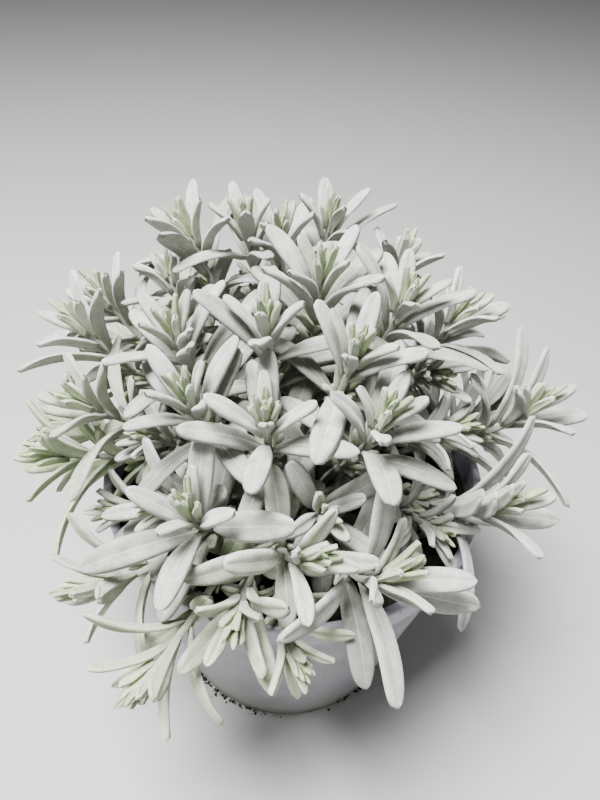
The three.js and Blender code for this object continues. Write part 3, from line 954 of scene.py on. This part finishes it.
def brightness(tree, factor, colour):
    node = tree.nodes.new("ShaderNodeHueSaturation")
    tree.links.new(factor, node.inputs["Value"])
    tree.links.new(colour, node.inputs["Color"])
    return node.outputs["Color"]


def bump(tree, shader, height, distance, strength=1.0):
    node = tree.nodes.new("ShaderNodeBump")
    node.inputs["Distance"].default_value = distance * METRES
    node.inputs["Strength"].default_value = strength
    tree.links.new(height, node.inputs["Height"])
    tree.links.new(node.outputs["Normal"], shader.inputs["Normal"])


def felt_material():
    """Silver wool over green, greener in the hearts and at the leaves' feet, with a pale midrib line. Painted
    shade darkens the feet and the midrib's sides, and in part the undersides and old leaves; the paler
    margins are in part a painted sheen.
    """
    material, tree, shader = new_material("felt")
    age = attribute(tree, "age")
    along = attribute(tree, "along")
    across = math_node(tree, "ABSOLUTE", attribute(tree, "across"))
    under = attribute(tree, "under")
    tone = attribute(tree, "tone")
    patches = spread(tree, noise_node(tree, 240, 3), 0.35, 0.65)
    silver = mix(tree, patches, *SILVER)
    green = mix(tree, patches, *GREEN)
    youth = product(tree, spread(tree, age, -1.0, 1.8, 1, 0), spread(tree, along, 0.5, 1, 1, 0.5))
    youth = math_node(tree, "MAXIMUM", youth, attribute(tree, "fresh"))
    # Older, lower leaves darker: greyer felt, and in part painted shade of the bush's inside
    old = mix(tree, patches, *OLD_FELT_AND_SHADE)
    aged = mix(tree, spread(tree, age, 1.6, 6.2, 0, 0.85), silver, old)
    young = mix(tree, youth, aged, green)
    # Towards its foot a leaf turns greener and is darkened with painted shade
    foot = mix(tree, spread(tree, along, 0.0, 0.4, 0.75, 0), young, LEAF_FOOT_GREEN_AND_SHADE)
    # A slight painted shadow on both sides of the midrib line, then the line itself
    rib_shadow = product(tree, spread(tree, across, 0.05, 0.1, 0, 0.22), spread(tree, across, 0.12, 0.3, 1, 0))
    rib_shadowed = mix(tree, rib_shadow, foot, RIB_SIDE_SHADOW)
    rib = product(tree, spread(tree, across, 0.03, 0.07, 1, 0), spread(tree, along, 0.1, 0.97, 0.75, 0.2))
    ribbed = mix(tree, rib, rib_shadowed, MIDRIB)
    # The margins are paler with their wool, and in part with a painted sheen
    margin = mix(tree, spread(tree, across, 0.75, 1, 0, 0.45), ribbed, MARGIN_WOOL_AND_SHEEN)
    # Undersides greyer, and in part darkened with painted shade
    lower = mix(tree, product(tree, under, 0.3), margin, UNDERSIDE_GREY_AND_SHADE)
    stem = mix(tree, spread(tree, age, 7.9, 8), lower, STEM_FELT)
    tipped = mix(tree, attribute(tree, "dry"), stem, DRY_TIP)
    wool = spread(tree, noise_node(tree, 1900, 5, 0.7), 0.33, 0.67, 0.78, 1.14)
    shade = product(tree, wool, spread(tree, tone, -1, 1, 0.86, 1.08))
    tree.links.new(brightness(tree, shade, tipped), shader.inputs["Base Color"])
    shader.inputs["Roughness"].default_value = 0.95
    shader.inputs["Specular IOR Level"].default_value = 0.1
    shader.inputs["Sheen Weight"].default_value = 0.35
    shader.inputs["Sheen Roughness"].default_value = 0.4
    shader.inputs["Sheen Tint"].default_value = SHEEN_TINT
    bump(tree, shader, noise_node(tree, 2000, 6, 0.75), 0.3, 0.9)
    return material


def dry_material():
    """A dead leaf's dull brown, with what is left of its wool."""
    material, tree, shader = new_material("dry_leaf")
    grain = spread(tree, noise_node(tree, 900, 5, 0.7), 0.35, 0.65)
    tree.links.new(mix(tree, grain, *DRY_LEAF), shader.inputs["Base Color"])
    shader.inputs["Roughness"].default_value = 0.85
    shader.inputs["Specular IOR Level"].default_value = 0.2
    bump(tree, shader, noise_node(tree, 1800, 5, 0.7), 0.25)
    return material


def soil_material():
    """Dark moist peat; the value of each grain goes from peat over brown fibre to white."""
    material, tree, shader = new_material("peat")
    kind = attribute(tree, "kind")
    grain = spread(tree, noise_node(tree, 700, 8, 0.75), 0.35, 0.7)
    dark = mix(tree, grain, *PEAT)
    fibre = mix(tree, grain, *FIBRE)
    earth = mix(tree, spread(tree, kind, 0.05, 0.7), dark, fibre)
    colour = mix(tree, spread(tree, kind, 0.8, 0.9), earth, WHITE_GRAIN)
    tree.links.new(colour, shader.inputs["Base Color"])
    shader.inputs["Roughness"].default_value = 0.9
    shader.inputs["Specular IOR Level"].default_value = 0.25
    bump(tree, shader, noise_node(tree, 1500, 8, 0.75), 0.5)
    return material


def pot_material():
    """Milky plastic: a paler rim band, painted light where it comes through above the peat, a cloudy and
    streaked wall with specks, and a grimy foot.
    """
    material, tree, shader = new_material("milky_plastic")
    height = height_above_floor(tree)
    cloud = spread(tree, noise_node(tree, 60, 6, 0.7), 0.35, 0.65)
    wall = mix(tree, cloud, *POT_WALL)
    streaks = spread(tree, noise_node(tree, 90, 6, 0.7, (1, 1, 2)), 0.52, 0.68, 0, 0.6)
    wall = mix(tree, streaks, wall, POT_STREAK)
    rim = mix(tree, cloud, *POT_RIM_LIT)
    # Above the peat's level the colour turns to the rim's painted light
    colour = mix(tree, spread(tree, height, 94.5, 97), wall, rim)
    speck = spread(tree, noise_node(tree, 420, 2, 0.5, (1, 1, 0.4)), 0.68, 0.73, 0, 0.7)
    colour = mix(tree, speck, colour, POT_SPECK)
    # Stain and grime end at a ragged height
    reach = math_node(tree, "ADD", height, spread(tree, noise_node(tree, 70, 6, 0.7), 0.3, 0.7, -9, 9))
    colour = mix(tree, spread(tree, reach, 4, 24, 0.75, 0), colour, POT_STAIN)
    colour = mix(tree, spread(tree, reach, -1, 5, 0.92, 0), colour, POT_GRIME)
    tree.links.new(colour, shader.inputs["Base Color"])
    tree.links.new(spread(tree, cloud, 0, 1, 0.34, 0.5), shader.inputs["Roughness"])
    shader.inputs["Subsurface Weight"].default_value = 0.2
    shader.inputs["Subsurface Radius"].default_value = (1, 1, 1.15)
    shader.inputs["Subsurface Scale"].default_value = 0.003
    bump(tree, shader, noise_node(tree, 500, 5, 0.6), 0.08, 0.5)
    return material


def floor_material():
    material, _, shader = new_material("pale_floor")
    shader.inputs["Base Color"].default_value = FLOOR
    shader.inputs["Roughness"].default_value = 0.8
    return material


def build_shoots(material):
    """One fine piece for each leafy stem, in the place of its solid."""
    roots = place_roots()
    rng = np.random.default_rng(7)
    for i, rosette in enumerate(ROSETTES):
        name = f"leafy_stem_{i + 1:02d}"
        stem = Stem(rosette, roots[i], i)
        leaves = grown_leaves(stem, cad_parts[name])
        skin = Skin(fresh=FRESH.get(i + 1, 0.0))
        add_stem(skin, stem)
        for leaf in leaves + bud_leaves(stem, i) + axil_leaves(stem, i):
            tone = rng.uniform(-1, 1)
            if leaf.length < SMALL_LENGTH:
                add_leaf(skin, leaf, tone, *SMALL_MESH)
                continue
            dry = float(leaf.age >= DRY_FROM and rng.uniform() < DRY_SHARE)
            detail = YOUNG_MESH if leaf.length < YOUNG_LENGTH else LEAF_MESH
            surface = add_leaf(skin, leaf, tone, *detail, dry)
            add_wool(skin, leaf, surface, rng, tone)
        piece = skin.to_object(f"felted_stem_{i + 1:02d}", material)
        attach(piece, "root")
        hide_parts(name)


def area_light(name, place, size, power):
    data = bpy.data.lights.new(name, "AREA")
    data.energy = power
    data.size = size
    lamp = bpy.data.objects.new(name, data)
    lamp.location = place
    lamp.rotation_euler = (Vector(LIGHT_AIM) - Vector(place)).to_track_quat("-Z", "Y").to_euler()
    bpy.context.scene.collection.objects.link(lamp)


def build_studio():
    """A plain pale floor under a soft sky, one main light from above and a weak one from the front."""
    mesh = bpy.data.meshes.new("floor")
    reach = FLOOR_REACH
    corners = [(-reach, -reach, 0), (reach, -reach, 0), (reach, reach, 0), (-reach, reach, 0)]
    mesh.from_pydata(corners, [], [(0, 1, 2, 3)])
    mesh.materials.append(floor_material())
    floor = bpy.data.objects.new("floor", mesh)
    bpy.context.scene.collection.objects.link(floor)
    world = bpy.data.worlds.new("soft_sky")
    world.use_nodes = True
    background = world.node_tree.nodes["Background"]
    background.inputs["Color"].default_value = SKY
    background.inputs["Strength"].default_value = SKY_STRENGTH
    bpy.context.scene.world = world
    for name, (place, size, power) in LIGHTS.items():
        area_light(name, place, size, power)


def build_camera():
    data = bpy.data.cameras.new("camera")
    data.sensor_width = SENSOR
    data.lens = FOCAL_PIXELS * data.sensor_width / PICTURE_HEIGHT
    data.clip_start = NEAREST
    camera = bpy.data.objects.new("camera", data)
    bpy.context.scene.collection.objects.link(camera)
    place = Vector(CAMERA_PLACE) * METRES
    turn = (Vector(CAMERA_AIM) * METRES - place).to_track_quat("-Z", "Y").to_matrix().to_4x4()
    roll = Matrix.Rotation(math.radians(CAMERA_ROLL), 4, "Z")
    camera.matrix_world = Matrix.Translation(place) @ turn @ roll
    bpy.context.scene.camera = camera


build_camera()
build_studio()
build_shoots(felt_material())
peat = soil_material()
build_soil(peat)
build_crumbs(peat)
build_dry_bits(dry_material())
build_pot(pot_material())
